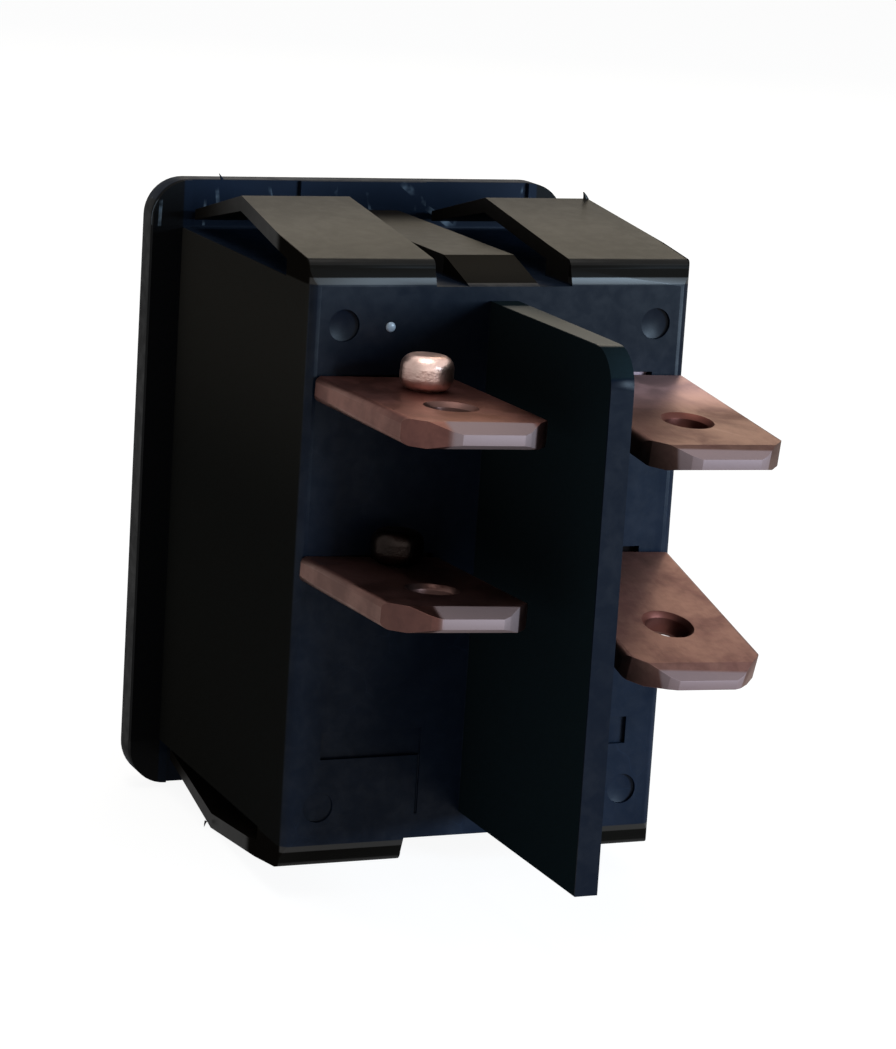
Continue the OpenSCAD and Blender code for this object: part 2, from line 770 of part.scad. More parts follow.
// Upper terminal: its inner end is bent down into a foot for the fixed contact
module upper_terminal(side, shift, bend) {
    difference() {
        union() {
            placed_blade(side, row_pitch, shift, bend) blade();
            neck(side, row_pitch, foot_y);
            translate([side * pole_x - neck_w / 2, foot_y, row_pitch + tab_t / 2 - foot_l])
                cube([neck_w, tab_t, foot_l]);
        }
        rod_y(side * pole_x, contact_z, foot_y - 1, rear_inner_y + eps, contact_shank_d / 2 + eps);
    }
}

// Middle terminal: its inner edge is the fulcrum, and two horns hold the lever's waist
module middle_terminal(side, shift, bend) {
    horn_w = (neck_w - lever_waist_w) / 2 - waist_gap;
    placed_blade(side, 0, shift, bend) blade();
    neck(side, 0, fulcrum_y);
    for (s = [-1, 1])
        translate([side * pole_x + s * (neck_w - horn_w) / 2 - horn_w / 2,
            fulcrum_y - horn_l, -tab_t / 2])
            cube([horn_w, horn_l + eps, tab_t]);
}

// Places a rivet's piece on a left blade, at its distance from the blade's root
module at_tab_rivet(z, y, shift, bend) {
    placed_blade(1, z, shift, bend) translate([-rivet_offset, y, 0]) children();
}

module upper_terminal_left() {
    color(copper) difference() {
        upper_terminal(1, shift_upper_left, bend_upper_left);
        at_tab_rivet(row_pitch, rivet_upper_y, shift_upper_left, bend_upper_left)
            cylinder(h = 2 * tab_t, r = tab_rivet_shank_d / 2 + eps, center = true);
    }
}

module upper_terminal_right() {
    color(copper) upper_terminal(-1, shift_upper_right, bend_upper_right);
}

module middle_terminal_left() {
    color(copper) difference() {
        middle_terminal(1, shift_middle_left, bend_middle_left);
        at_tab_rivet(0, rivet_middle_y, shift_middle_left, bend_middle_left)
            cylinder(h = 2 * tab_t, r = tab_rivet_shank_d / 2 + eps, center = true);
    }
}

module middle_terminal_right() {
    color(copper) middle_terminal(-1, shift_middle_right, bend_middle_right);
}

// Half outline of a rivet's head: a round-edged bead on the blade's upper face
module rivet_head() {
    r = tab_rivet_d / 2;
    e = tab_rivet_edge_r;
    translate([0, tab_t / 2]) {
        square([r - e, tab_rivet_h]);
        translate([0, e]) square([r, tab_rivet_h - 2 * e]);
        for (z = [e, tab_rivet_h - e])
            translate([r - e, z]) circle(e);
    }
}

// Rivet through a left tab: a bead-shaped head on top and a thin clench below
module tab_rivet(z, y, shift, bend) {
    shank_r = tab_rivet_shank_d / 2;
    color(copper) at_tab_rivet(z, y, shift, bend) rotate_extrude() {
        rivet_head();
        translate([0, -tab_t / 2 - eps]) square([shank_r, tab_t + 2 * eps]);
        translate([0, -tab_t / 2 - rivet_clench_h])
            square([tab_rivet_d / 2 - rivet_clench_h, rivet_clench_h]);
    }
}

housing();
rocker();
plunger(1);  // plunger_left
plunger(-1);  // plunger_right
plunger_spring(1);  // plunger_spring_left
plunger_spring(-1);  // plunger_spring_right
contact_lever(1);  // contact_lever_left
contact_lever(-1);  // contact_lever_right
moving_contact(1);  // moving_contact_left
moving_contact(-1);  // moving_contact_right
fixed_contact(1);  // fixed_contact_left
fixed_contact(-1);  // fixed_contact_right
upper_terminal_left();
upper_terminal_right();
middle_terminal_left();
middle_terminal_right();
tab_rivet(row_pitch, rivet_upper_y, shift_upper_left, bend_upper_left);  // upper_tab_rivet
tab_rivet(0, rivet_middle_y, shift_middle_left, bend_middle_left);  // middle_tab_rivet
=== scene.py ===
"""The looks of a small panel rocker switch: moulded black nylon, copper blade tabs, a see-saw
contact set, and a plain pale floor with soft studio light. Lengths are in metres, or in
millimetres where a comment says so."""

import math

import bmesh
import bpy
from mathutils import Matrix, Vector


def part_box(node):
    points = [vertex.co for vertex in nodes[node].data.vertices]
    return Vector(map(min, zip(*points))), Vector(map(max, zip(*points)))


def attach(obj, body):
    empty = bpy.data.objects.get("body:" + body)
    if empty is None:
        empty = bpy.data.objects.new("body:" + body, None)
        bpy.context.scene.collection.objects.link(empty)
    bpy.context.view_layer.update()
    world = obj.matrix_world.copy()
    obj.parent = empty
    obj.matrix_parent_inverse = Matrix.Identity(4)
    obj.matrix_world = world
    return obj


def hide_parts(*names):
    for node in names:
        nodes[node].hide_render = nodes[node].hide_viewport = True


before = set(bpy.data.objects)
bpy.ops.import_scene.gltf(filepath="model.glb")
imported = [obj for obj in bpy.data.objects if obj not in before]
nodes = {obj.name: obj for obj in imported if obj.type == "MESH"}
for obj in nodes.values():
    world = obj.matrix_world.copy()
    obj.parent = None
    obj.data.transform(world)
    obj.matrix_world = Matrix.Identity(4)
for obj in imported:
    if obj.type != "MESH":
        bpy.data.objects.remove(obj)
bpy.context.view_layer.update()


MM = 0.001


# ---- shader node helpers -------------------------------------------------

def add_node(tree, kind, **values):
    """A node of one kind, with its properties and its unlinked inputs set by name."""
    node = tree.nodes.new(kind)
    for name, value in values.items():
        if hasattr(node, name):
            setattr(node, name, value)
        else:
            node.inputs[name.replace("_", " ")].default_value = value
    return node


def maths(tree, operation, first, second):
    """A Math node; each operand is a number or another node's output."""
    node = tree.nodes.new("ShaderNodeMath")
    node.operation = operation
    for socket, value in zip(node.inputs, (first, second)):
        if isinstance(value, (int, float)):
            socket.default_value = value
        else:
            tree.links.new(value, socket)
    return node.outputs[0]


def stretch(tree, value, low, high, new_low=0.0, new_high=1.0):
    """A smooth Map Range from low..high to new_low..new_high."""
    node = tree.nodes.new("ShaderNodeMapRange")
    node.interpolation_type = "SMOOTHSTEP"
    tree.links.new(value, node.inputs["Value"])
    for name, number in (("From Min", low), ("From Max", high),
                         ("To Min", new_low), ("To Max", new_high)):
        if isinstance(number, (int, float)):
            node.inputs[name].default_value = number
        else:
            tree.links.new(number, node.inputs[name])
    return node.outputs["Result"]


def blend_colours(tree, factor, first, second):
    """A colour mix; factor and colours are values or another node's output."""
    node = tree.nodes.new("ShaderNodeMix")
    node.data_type = "RGBA"
    for socket, value in zip((node.inputs[0], node.inputs[6], node.inputs[7]),
                             (factor, first, second)):
        if isinstance(value, (int, float, tuple)):
            socket.default_value = value
        else:
            tree.links.new(value, socket)
    return node.outputs[2]


def new_group(name, inputs, outputs):
    """An empty shader node group with named sockets; returns it with its two end nodes."""
    group = bpy.data.node_groups.new(name, "ShaderNodeTree")
    for label, kind, default in inputs:
        socket = group.interface.new_socket(label, in_out="INPUT", socket_type=kind)
        if default is not None:
            socket.default_value = default
    for label, kind in outputs:
        group.interface.new_socket(label, in_out="OUTPUT", socket_type=kind)
    return group, group.nodes.new("NodeGroupInput"), group.nodes.new("NodeGroupOutput")


FLOAT = "NodeSocketFloat"
VECTOR = "NodeSocketVector"


def build_mottle():
    """Soft cloudy patches, as moulded plastic and tarnish have."""
    group, start, end = new_group(
        "mottle",
        [("Vector", VECTOR, None), ("Scale", FLOAT, 400.0), ("Low", FLOAT, 0.35),
         ("High", FLOAT, 0.65)],
        [("Mask", FLOAT)])
    clouds = add_node(group, "ShaderNodeTexNoise", Detail=4.0, Roughness=0.6, Distortion=0.4)
    group.links.new(start.outputs["Vector"], clouds.inputs["Vector"])
    group.links.new(start.outputs["Scale"], clouds.inputs["Scale"])
    mask = stretch(group, clouds.outputs[0], start.outputs["Low"], start.outputs["High"])
    group.links.new(mask, end.inputs["Mask"])
    return group


def build_grain():
    """Fine surface grain, the same in every direction."""
    group, start, end = new_group(
        "fine_grain", [("Vector", VECTOR, None), ("Scale", FLOAT, 6000.0)],
        [("Height", FLOAT)])
    fine = add_node(group, "ShaderNodeTexNoise", Detail=3.0, Roughness=0.7)
    group.links.new(start.outputs["Vector"], fine.inputs["Vector"])
    group.links.new(start.outputs["Scale"], fine.inputs["Scale"])
    broad = add_node(group, "ShaderNodeTexNoise", Scale=900.0, Detail=2.0)
    group.links.new(start.outputs["Vector"], broad.inputs["Vector"])
    height = maths(group, "ADD", fine.outputs[0],
                   maths(group, "MULTIPLY", broad.outputs[0], 0.8))
    group.links.new(height, end.inputs["Height"])
    return group


def build_specks():
    """Rare small specks of dust or dried residue."""
    group, start, end = new_group(
        "dust_specks",
        [("Vector", VECTOR, None), ("Scale", FLOAT, 1500.0), ("Size", FLOAT, 0.12),
         ("Share", FLOAT, 0.08)],
        [("Mask", FLOAT)])
    cells = add_node(group, "ShaderNodeTexVoronoi", feature="F1")
    group.links.new(start.outputs["Vector"], cells.inputs["Vector"])
    group.links.new(start.outputs["Scale"], cells.inputs["Scale"])
    near = maths(group, "LESS_THAN", cells.outputs["Distance"], start.outputs["Size"])
    split = group.nodes.new("ShaderNodeSeparateColor")
    group.links.new(cells.outputs["Color"], split.inputs[0])
    chosen = maths(group, "LESS_THAN", split.outputs[0], start.outputs["Share"])
    group.links.new(maths(group, "MULTIPLY", near, chosen), end.inputs["Mask"])
    return group


def build_rolling_marks():
    """Long fine lines along one axis, as rolled and stamped strip has."""
    group, start, end = new_group(
        "rolling_marks",
        [("Vector", VECTOR, None), ("Stretch", VECTOR, (1.0, 0.06, 1.0)),
         ("Scale", FLOAT, 9000.0)],
        [("Height", FLOAT)])
    turn = group.nodes.new("ShaderNodeVectorMath")
    turn.operation = "MULTIPLY"
    group.links.new(start.outputs["Vector"], turn.inputs[0])
    group.links.new(start.outputs["Stretch"], turn.inputs[1])
    lines = add_node(group, "ShaderNodeTexNoise", Detail=3.0, Roughness=0.75)
    group.links.new(turn.outputs[0], lines.inputs["Vector"])
    group.links.new(start.outputs["Scale"], lines.inputs["Scale"])
    group.links.new(lines.outputs[0], end.inputs["Height"])
    return group


def build_scratches():
    """Sparse thin scratches lying in many directions."""
    group, start, end = new_group(
        "scratches",
        [("Vector", VECTOR, None), ("Scale", FLOAT, 350.0), ("Width", FLOAT, 0.012)],
        [("Mask", FLOAT)])
    warp = add_node(group, "ShaderNodeTexNoise", Scale=300.0, Detail=2.0)
    group.links.new(start.outputs["Vector"], warp.inputs["Vector"])
    shift = group.nodes.new("ShaderNodeVectorMath")
    shift.operation = "MULTIPLY_ADD"
    group.links.new(warp.outputs["Color"], shift.inputs[0])
    shift.inputs[1].default_value = (0.0022, 0.0022, 0.0022)
    group.links.new(start.outputs["Vector"], shift.inputs[2])
    cells = add_node(group, "ShaderNodeTexVoronoi", feature="DISTANCE_TO_EDGE")
    group.links.new(shift.outputs[0], cells.inputs["Vector"])
    group.links.new(start.outputs["Scale"], cells.inputs["Scale"])
    thin = maths(group, "LESS_THAN", cells.outputs["Distance"], start.outputs["Width"])
    parts = add_node(group, "ShaderNodeTexNoise", Scale=520.0, Detail=1.0)
    group.links.new(start.outputs["Vector"], parts.inputs["Vector"])
    broken = stretch(group, parts.outputs[0], 0.52, 0.62)
    group.links.new(maths(group, "MULTIPLY", thin, broken), end.inputs["Mask"])
    return group


def build_scuffs():
    """Pale upright scuffs and nicks, as a panel's edge leaves on a bezel's back."""
    group, start, end = new_group(
        "panel_scuffs", [("Vector", VECTOR, None)], [("Mask", FLOAT)])
    squeeze = group.nodes.new("ShaderNodeVectorMath")
    squeeze.operation = "MULTIPLY"
    group.links.new(start.outputs["Vector"], squeeze.inputs[0])
    squeeze.inputs[1].default_value = (1.0, 1.0, 0.3)
    cells = add_node(group, "ShaderNodeTexVoronoi", feature="DISTANCE_TO_EDGE", Scale=520.0)
    group.links.new(squeeze.outputs[0], cells.inputs["Vector"])
    thin = maths(group, "LESS_THAN", cells.outputs["Distance"], 0.018)
    patches = add_node(group, "ShaderNodeTexNoise", Scale=900.0, Detail=3.0)
    group.links.new(start.outputs["Vector"], patches.inputs["Vector"])
    broken = stretch(group, patches.outputs[0], 0.5, 0.68)
    group.links.new(maths(group, "MULTIPLY", thin, broken), end.inputs["Mask"])
    return group


MOTTLE = build_mottle()
GRAIN = build_grain()
SPECKS = build_specks()
ROLLING = build_rolling_marks()
SCRATCHES = build_scratches()
SCUFFS = build_scuffs()


def place_group(tree, group, vector, **values):
    """A group node with its vector linked and its other inputs set."""
    node = tree.nodes.new("ShaderNodeGroup")
    node.node_tree = group
    tree.links.new(vector, node.inputs["Vector"])
    for name, value in values.items():
        node.inputs[name].default_value = value
    return node.outputs[0]


def start_material(name):
    """A material with its tree, its Principled shader and its Object coordinates."""
    material = bpy.data.materials.new(name)
    material.use_nodes = True
    tree = material.node_tree
    shader = tree.nodes["Principled BSDF"]
    place = tree.nodes.new("ShaderNodeTexCoord")
    return material, tree, shader, place.outputs["Object"]


def add_bump(tree, shader, height, distance, strength):
    """Feeds a height to the shader's normal."""
    bump = add_node(tree, "ShaderNodeBump", Strength=strength, Distance=distance)
    tree.links.new(height, bump.inputs["Height"])
    tree.links.new(bump.outputs["Normal"], shader.inputs["Normal"])


# ---- materials -----------------------------------------------------------

FAR = 1000.0          # beyond any surface, in millimetres
BARRIER_HALF = 0.6    # covers half of the barrier's thickness, in millimetres
PLAIN_SHEEN = (0.10, 0.20)
ARM_SHEEN = (0.185, 0.23)
# Painted light and shade: each zone's colour sets how bright that face looks under these
# lamps, not a colour of the nylon's own. Painted shade darkens the flange, the bezel's sides,
# the barrier's end and the upper rear face. The walls, their upper part and the barrier's
# sides are painted paler and less blue. The arm tops carry a warm painted sheen.
ZONE_PAINTED_LIGHT = (("walls", (0.0105, 0.0105, 0.0095)),
                ("high_walls", (0.023, 0.0215, 0.0185)),
                ("flange", (0.0045, 0.0047, 0.0052)),
                ("bezel_sides", (0.0045, 0.0047, 0.0052)),
                ("barrier_side", (0.0068, 0.0115, 0.0135)),
                ("barrier_edge", (0.0030, 0.0050, 0.0100)),
                ("rear_top", (0.0024, 0.0044, 0.0088)),
                ("arm_tops", (0.0060, 0.0050, 0.0040)))
ZONE_SHEENS = (("arm_end_upper", 0.02), ("arm_end_lower", 0.55), ("ramp", 0.02),
               ("flange", 0.03), ("bezel_back", 0.06), ("matte", 0.0), ("barrier_top", 0.30))
SCUFF_COLOUR = (0.15, 0.19, 0.23)
DUST_COLOUR = (0.16, 0.18, 0.20)
INSIDE_COPPER = (0.004, 0.003, 0.003)     # copper within the body, where no light comes
# Painted sheen: the pale mauve laid on the upper tabs' roots.
ROOT_SHEEN_COPPER = (0.36, 0.25, 0.27)
# Roughness of the tips under their painted highlight.
TIP_HIGHLIGHT_ROUGHNESS = 0.72
COPPER_TINT = (0.85, 0.74, 0.70, 1.0)

def between(tree, value, low, high, soft=0.03 * MM):
    """A mask that is 1 where a coordinate lies between two values in metres."""
    above = stretch(tree, value, low - soft, low + soft)
    below = stretch(tree, value, high - soft, high + soft, 1.0, 0.0)
    return maths(tree, "MULTIPLY", above, below)


def split_axes(tree, place):
    """The three coordinates of a place, the first without its sign."""
    split = tree.nodes.new("ShaderNodeSeparateXYZ")
    tree.links.new(place, split.inputs[0])
    side = maths(tree, "ABSOLUTE", split.outputs["X"], 0.0)
    return side, split.outputs["Y"], split.outputs["Z"]


def fade(tree, mask, first, second):
    """One value where a mask is 0, another where it is 1."""
    return stretch(tree, mask, 0.0, 1.0, first, second)


def both(tree, first, second):
    """Where two masks overlap."""
    return maths(tree, "MULTIPLY", first, second)


def patch(tree, *spans):
    """A mask of where each coordinate lies in its span, given in millimetres."""
    mask = None
    for coordinate, low, high in spans:
        part = between(tree, coordinate, low * MM, high * MM)
        mask = part if mask is None else both(tree, mask, part)
    return mask


def housing_zones(tree, place):
    """Masks of the moulding's zones, each named after what it covers."""
    side, back, up = split_axes(tree, place)
    height = maths(tree, "ABSOLUTE", up, 0.0)
    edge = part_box("housing")[1].y / MM
    walls = patch(tree, (side, 6.44, 6.95), (back, 0.1, FAR))
    barrier_side = patch(tree, (side, -FAR, BARRIER_HALF), (back, 12.36, edge - 0.04))
    over_end = (height, 8.96, FAR)
    end_face = (back, 11.95, 12.6)
    return {
        "matte": maths(tree, "MAXIMUM", walls, barrier_side),
        "walls": walls,
        "high_walls": both(tree, walls, stretch(tree, up, 0.5 * MM, 8.0 * MM)),
        "flange": patch(tree, (side, 6.45, FAR), (back, -0.25, 0.12)),
        "bezel_sides": patch(tree, (side, 7.35, FAR), (back, -1.2, 0.3)),
        "barrier_side": barrier_side,
        "barrier_edge": patch(tree, (side, -FAR, BARRIER_HALF), (back, edge - 0.06, FAR)),
        "barrier_top": patch(tree, (side, -FAR, BARRIER_HALF), (back, 13.2, edge - 0.6),
                             (up, 8.42, 8.6)),
        "rear_top": both(tree, patch(tree, (back, 12.15, 12.36)),
                         stretch(tree, up, 4.2 * MM, 7.4 * MM)),
        "arm_tops": patch(tree, over_end, (back, 0.25, 12.6)),
        "arm_end_upper": patch(tree, over_end, end_face, (height, 9.16, 9.54)),
        "arm_end_lower": patch(tree, over_end, end_face, (height, 8.9, 9.16)),
        "ramp": patch(tree, (side, -FAR, 1.25), over_end, (back, 10.1, 12.4)),
        "bezel_back": patch(tree, over_end, (back, -0.3, 0.1)),
    }


def paint_zone_light(tree, zones, colour):
    """Lays each zone's painted light and shade over the moulding's colour."""
    for zone, tint in ZONE_PAINTED_LIGHT:
        colour = blend_colours(tree, zones[zone], colour, (*tint, 1.0))
    return colour


def housing_sheen(tree, zones, sheen):
    """How glossy each zone of the moulding is: matte sides, polished tops of the arms."""
    weight = fade(tree, sheen, *PLAIN_SHEEN)
    weight = fade(tree, zones["arm_tops"], weight, fade(tree, sheen, *ARM_SHEEN))
    for zone, gloss in ZONE_SHEENS:
        weight = fade(tree, zones[zone], weight, gloss)
    return weight


def scaled(colour, share):
    """A colour made darker or paler by one factor."""
    return tuple(value * share for value in colour)


def lay_over(tree, colour, mask, share, tint):
    """Lays a share of a tint over a colour where a mask is 1."""
    return blend_colours(tree, maths(tree, "MULTIPLY", mask, share), colour, (*tint, 1.0))


def black_nylon(name, dark, pale, coat_rough, coat_range=None):
    """Moulded black nylon: a thin cloudy sheen over a dark body, fine grain, few marks.

    Without a coat_range it is the housing's, with painted light and shade and a sheen for
    each of its zones."""
    material, tree, shader, place = start_material(name)
    clouds = place_group(tree, MOTTLE, place, Scale=260.0, Low=0.3, High=0.75)
    fine_clouds = place_group(tree, MOTTLE, place, Scale=2100.0, Low=0.3, High=0.75)
    grain = place_group(tree, GRAIN, place, Scale=7000.0)
    specks = place_group(tree, SPECKS, place, Scale=1500.0, Size=0.12, Share=0.010)
    scratches = place_group(tree, SCRATCHES, place, Scale=700.0, Width=0.006)
    colour = blend_colours(tree, clouds, (*dark, 1.0), (*pale, 1.0))
    colour = lay_over(tree, colour, scratches, 0.12, scaled(pale, 3.0))
    colour = lay_over(tree, colour, specks, 0.3, DUST_COLOUR)
    sheen = maths(tree, "ADD", maths(tree, "MULTIPLY", clouds, 0.5),
                  maths(tree, "MULTIPLY", fine_clouds, 0.5))
    if coat_range:
        coat = fade(tree, sheen, *coat_range)
    else:
        zones = housing_zones(tree, place)
        # Painted light and shade, zone by zone, over the moulding's colour.
        colour = paint_zone_light(tree, zones, colour)
        scuffs = place_group(tree, SCUFFS, place)
        colour = lay_over(tree, colour, both(tree, zones["bezel_back"], scuffs), 1.0,
                          SCUFF_COLOUR)
        coat = housing_sheen(tree, zones, sheen)
    tree.links.new(colour, shader.inputs["Base Color"])
    tree.links.new(coat, shader.inputs["Coat Weight"])
    shader.inputs["Coat Roughness"].default_value = coat_rough
    shader.inputs["Specular IOR Level"].default_value = 0.0
    tree.links.new(fade(tree, sheen, 0.45, 0.65), shader.inputs["Roughness"])
    height = maths(tree, "ADD", grain, maths(tree, "MULTIPLY", fine_clouds, 0.8))
    add_bump(tree, shader, height, 0.012 * MM, 0.4)
    return material


def hole_wall(tree, side, back, facing, centre, reach):
    """A mask of the upright walls round a hole's centre, in millimetres."""
    off_x = maths(tree, "SUBTRACT", side, centre[0] * MM)
    off_y = maths(tree, "SUBTRACT", back, centre[1] * MM)
    squares = maths(tree, "ADD", maths(tree, "MULTIPLY", off_x, off_x),
                    maths(tree, "MULTIPLY", off_y, off_y))
    soft = 0.05
    near = stretch(tree, maths(tree, "SQRT", squares, 0.0), (reach - soft) * MM,
                   (reach + soft) * MM, 1.0, 0.0)
    upright = stretch(tree, maths(tree, "ABSOLUTE", facing.outputs["Z"], 0.0),
                      0.75, 0.95, 1.0, 0.0)
    return both(tree, near, upright)


def copper_strip(name, bright, tarnish, rough, tarnish_range, painted_tip=None, hole=None,
                 lower_lit_share=1.0, painted_shade_colour=(0.012, 0.009, 0.008), painted_middle_shade=0.0,
                 root_painted_sheen=0.0, dent=0.01 * MM):
    """Stamped copper strip: rolling marks and tarnish in patches, with painted highlight on
    the end faces and painted shade on the side faces, the hole walls and the lower row.

    painted_tip: colour of the end faces' painted highlight, its share, how far back it
    starts, its two sides, in millimetres
    hole: colour of the painted shade on the wire hole's wall, its share, the hole's centre,
    its reach
    lower_lit_share: how much of the colour the lower row keeps under its painted shadow
    painted_middle_shade, root_painted_sheen: how much painted shade dulls the upper row and
    painted sheen pales it along its length"""
    material, tree, shader, place = start_material(name)
    side, back, up = split_axes(tree, place)
    facing = tree.nodes.new("ShaderNodeSeparateXYZ")
    tree.links.new(tree.nodes.new("ShaderNodeTexCoord").outputs["Normal"], facing.inputs[0])
    low, high = tarnish_range
    stains = place_group(tree, MOTTLE, place, Scale=520.0, Low=low, High=high)
    fine_stains = place_group(tree, MOTTLE, place, Scale=2600.0, Low=0.35, High=0.7)
    lines = place_group(tree, ROLLING, place, Scale=7000.0)
    colour = blend_colours(tree, stains, (*bright, 1.0), (*tarnish, 1.0))
    colour = lay_over(tree, colour, fine_stains, 0.35, scaled(tarnish, 0.55))
    # Painted shadow: the lower row, up to 1.8 mm and fading out by 3.6 mm, is darkened
    # towards the painted shade colour, as the row above shades it.
    lower_row = stretch(tree, up, 1.8 * MM, 3.6 * MM, 1.0 - lower_lit_share, 0.0)
    colour = blend_colours(tree, lower_row, colour, (*painted_shade_colour, 1.0))
    inside = between(tree, back, -1.0, 12.32 * MM)
    colour = blend_colours(tree, inside, colour, (*INSIDE_COPPER, 1.0))
    # Painted shade: faces turned sideways, picked by their facing, are darkened towards the
    # painted shade colour.
    edges = stretch(tree, maths(tree, "ABSOLUTE", facing.outputs["X"], 0.0), 0.3, 0.8,
                    0.0, 0.48)
    colour = blend_colours(tree, edges, colour, (*painted_shade_colour, 1.0))
    # Painted shade along the upper row's middle, and a pale painted sheen at its root.
    upper_row = stretch(tree, up, 2.6 * MM, 4.0 * MM)
    middle = stretch(tree, back, 14.5 * MM, 17.0 * MM, 0.0, painted_middle_shade)
    colour = blend_colours(tree, both(tree, upper_row, middle), colour, (*painted_shade_colour, 1.0))
    root = stretch(tree, back, 13.8 * MM, 16.6 * MM, root_painted_sheen, 0.0)
    colour = blend_colours(tree, both(tree, upper_row, root), colour, (*ROOT_SHEEN_COPPER, 1.0))
    roughness = stretch(tree, maths(tree, "ADD", maths(tree, "MULTIPLY", stains, 0.7),
                                    maths(tree, "MULTIPLY", lines, 0.3)), 0.0, 1.0, *rough)
    if painted_tip:
        tint, share, reach, left, right = painted_tip
        # Painted highlight: the tip is paled towards the given tint and made rougher.
        tip = both(tree, between(tree, back, reach * MM, 1.0, 0.05 * MM),
                   between(tree, side, left * MM, right * MM, 0.12 * MM))
        colour = lay_over(tree, colour, tip, share, tint)
        roughness = fade(tree, tip, roughness, TIP_HIGHLIGHT_ROUGHNESS)
    if hole:
        tint, share, centre, reach = hole
        # Painted shade on the hole's upright wall.
        wall = hole_wall(tree, side, back, facing, centre, reach)
        colour = lay_over(tree, colour, wall, share, tint)
    tree.links.new(colour, shader.inputs["Base Color"])
    tree.links.new(roughness, shader.inputs["Roughness"])
    shader.inputs["Metallic"].default_value = 1.0
    shader.inputs["Specular Tint"].default_value = COPPER_TINT
    add_bump(tree, shader, lines, dent, 0.5)
    return material


def plain_metal(name, colour, shade, rough, stretch_by, scale):
    """A clean metal with turning, drawing or rolling lines."""
    material, tree, shader, place = start_material(name)
    clouds = place_group(tree, MOTTLE, place, Scale=900.0, Low=0.3, High=0.75)
    lines = place_group(tree, ROLLING, place, Scale=scale, Stretch=stretch_by)
    tree.links.new(blend_colours(tree, clouds, (*colour, 1.0), (*shade, 1.0)),
                   shader.inputs["Base Color"])
    tree.links.new(fade(tree, clouds, *rough), shader.inputs["Roughness"])
    shader.inputs["Metallic"].default_value = 1.0
    add_bump(tree, shader, lines, 0.008 * MM, 0.5)
    return material


# The housing's blue tint is partly painted light: black nylon, tinted blue to stand for the
# blue window lamp's light on it.
HOUSING_NYLON = black_nylon("housing_nylon", (0.0042, 0.0075, 0.0150),
                            (0.0064, 0.0110, 0.0215), 0.34)
ROCKER_NYLON = black_nylon("rocker_nylon", (0.012, 0.012, 0.014), (0.016, 0.016, 0.018),
                           0.18, (0.30, 0.42))
# Painted shade: the left tabs' copper is a darker copy of the right tabs', because the left
# tabs lie in shade. The two are shaded and lit copies of one copper.
LEFT_COPPER = copper_strip(
    "tab_left_copper", (0.185, 0.078, 0.064), (0.118, 0.049, 0.044), (0.30, 0.48), (0.3, 0.7),
    painted_tip=((0.20, 0.150, 0.150), 0.95, 19.48, 2.0, 4.85),
    hole=((0.105, 0.060, 0.052), 0.85, (3.75, 17.0), 1.15),
    lower_lit_share=0.58, painted_shade_colour=(0.040, 0.026, 0.023))
RIGHT_COPPER = copper_strip(
    "tab_right_copper", (0.195, 0.108, 0.090), (0.150, 0.072, 0.064), (0.42, 0.60),
    (0.35, 0.75),
    painted_tip=((0.23, 0.175, 0.180), 0.85, 19.78, 2.0, 6.6),
    hole=((0.085, 0.028, 0.022), 0.85, (4.1, 16.95), 1.3),
    painted_middle_shade=0.50, root_painted_sheen=0.65)
# The lower rivet keeps almost none of its colour: painted shadow under the upper tab.
RIVET_COPPER = copper_strip(
    "tab_rivet_copper", (0.98, 0.72, 0.63), (0.74, 0.48, 0.42), (0.26, 0.44), (0.35, 0.75),
    lower_lit_share=0.02, painted_shade_colour=(0.004, 0.0036, 0.0033), dent=0.03 * MM)
LEVER_BRONZE = plain_metal("lever_bronze", (0.72, 0.43, 0.27), (0.55, 0.31, 0.19),
                           (0.25, 0.42), (1.0, 1.0, 0.06), 8000.0)
SILVER = plain_metal("contact_silver", (0.84, 0.83, 0.81), (0.62, 0.61, 0.58),
                     (0.22, 0.4), (1.0, 0.3, 1.0), 6000.0)
PLUNGER_BRASS = plain_metal("plunger_brass", (0.80, 0.60, 0.27), (0.62, 0.44, 0.18),
                            (0.2, 0.36), (0.2, 1.0, 0.2), 9000.0)
SPRING_STEEL = plain_metal("spring_steel", (0.60, 0.61, 0.63), (0.45, 0.46, 0.48),
                           (0.22, 0.34), (1.0, 1.0, 1.0), 9000.0)

FINISHES = {"housing": HOUSING_NYLON, "rocker": ROCKER_NYLON,
            "upper_tab_rivet": RIVET_COPPER, "middle_tab_rivet": RIVET_COPPER}
for side_name, copper in (("left", LEFT_COPPER), ("right", RIGHT_COPPER)):
    FINISHES["plunger_" + side_name] = PLUNGER_BRASS
    FINISHES["plunger_spring_" + side_name] = SPRING_STEEL
    FINISHES["contact_lever_" + side_name] = LEVER_BRONZE
    FINISHES["moving_contact_" + side_name] = SILVER
    FINISHES["fixed_contact_" + side_name] = SILVER
    FINISHES["upper_terminal_" + side_name] = copper
    FINISHES["middle_terminal_" + side_name] = copper
for node_name, finish in FINISHES.items():
    node = nodes[node_name]
    node.data.materials.clear()
    node.data.materials.append(finish)


# ---- pieces --------------------------------------------------------------

def place_piece(mesh, name, body, finish):
    """Turns a bmesh into an object with a finish that rides on a body."""
    data = bpy.data.meshes.new(name)
    mesh.to_mesh(data)
    mesh.free()
    data.materials.append(finish)
    piece = bpy.data.objects.new(name, data)
    bpy.context.scene.collection.objects.link(piece)
    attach(piece, body)
    return piece


# ---- eased edges ---------------------------------------------------------

MERGE = 0.0002 * MM                  # corners closer than this are one
FLAT_ANGLE = math.radians(0.5)       # faces closer than this are one flat
SHARP_ANGLE = math.radians(40.0)     # edges above this stay sharp in the shading


